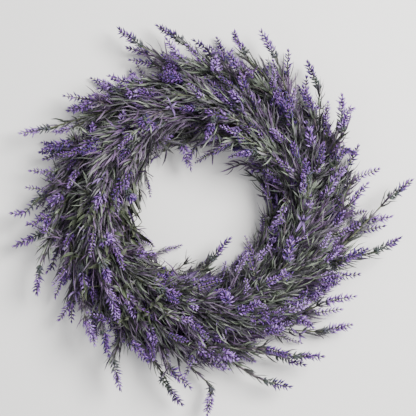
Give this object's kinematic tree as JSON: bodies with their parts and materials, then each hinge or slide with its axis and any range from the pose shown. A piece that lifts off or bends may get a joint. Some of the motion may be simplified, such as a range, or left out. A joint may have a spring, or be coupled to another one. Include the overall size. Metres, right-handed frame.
{
  "type": "lavender wreath",
  "caption": "Round wreath of leafy lavender picks, all swept anticlockwise round a twisted vine ring, with an open middle.",
  "frame": {"origin": "under the middle of the wreath's outline, on the surface that its back rests on", "axes": "+Z from the back to the face that is seen, +Y to the top of the wreath as it hangs, +X to the right of someone who looks at its face"},
  "size_m": [0.55, 0.5376, 0.0944],
  "materials": {
    "flowers": "soft purple flower buds with darker hollows",
    "leaves": "grey green narrow leaves, matt",
    "olive_leaves": "olive broad leaves with paler edges",
    "lilac_leaves": "dusty lilac leaves, matt",
    "stems": "dull green stems",
    "vine": "brown bark, rough",
    "ties": "brown twine, matt"
  },
  "bodies": {
    "root": {"vine_strand_1": "vine", "vine_strand_2": "vine", "vine_strand_3": "vine", "stem_tie_01": "ties", "stem_tie_02": "ties", "stem_tie_03": "ties", "stem_tie_04": "ties", "stem_tie_05": "ties", "stem_tie_06": "ties", "stem_tie_07": "ties", "stem_tie_08": "ties", "stem_tie_09": "ties", "stem_tie_10": "ties", "stem_tie_11": "ties", "stem_tie_12": "ties", "stem_tie_13": "ties", "stem_tie_14": "ties", "outer_bunch_01": "flowers", "outer_bunch_02": "flowers", "outer_bunch_03": "flowers", "outer_bunch_04": "flowers", "outer_bunch_05": "flowers", "outer_bunch_06": "flowers", "outer_bunch_07": "flowers", "outer_bunch_08": "flowers", "outer_bunch_09": "flowers", "outer_bunch_10": "flowers", "outer_bunch_11": "flowers", "outer_bunch_12": "flowers", "outer_bunch_13": "flowers", "outer_bunch_14": "flowers", "face_bunch_01": "flowers", "face_bunch_02": "flowers", "face_bunch_03": "flowers", "face_bunch_04": "flowers", "face_bunch_05": "flowers", "face_bunch_06": "flowers", "face_bunch_07": "flowers", "face_bunch_08": "flowers", "face_bunch_09": "flowers", "face_bunch_10": "flowers", "face_bunch_11": "flowers", "face_bunch_12": "flowers", "face_bunch_13": "flowers", "face_bunch_14": "flowers", "inner_bunch_01": "leaves", "inner_bunch_02": "leaves", "inner_bunch_03": "leaves", "inner_bunch_04": "leaves", "inner_bunch_05": "leaves", "inner_bunch_06": "leaves", "inner_bunch_07": "leaves", "inner_bunch_08": "leaves", "inner_bunch_09": "leaves", "inner_bunch_10": "leaves", "inner_bunch_11": "leaves", "inner_bunch_12": "leaves", "inner_bunch_13": "leaves", "inner_bunch_14": "leaves"}
  },
  "joints": []
}
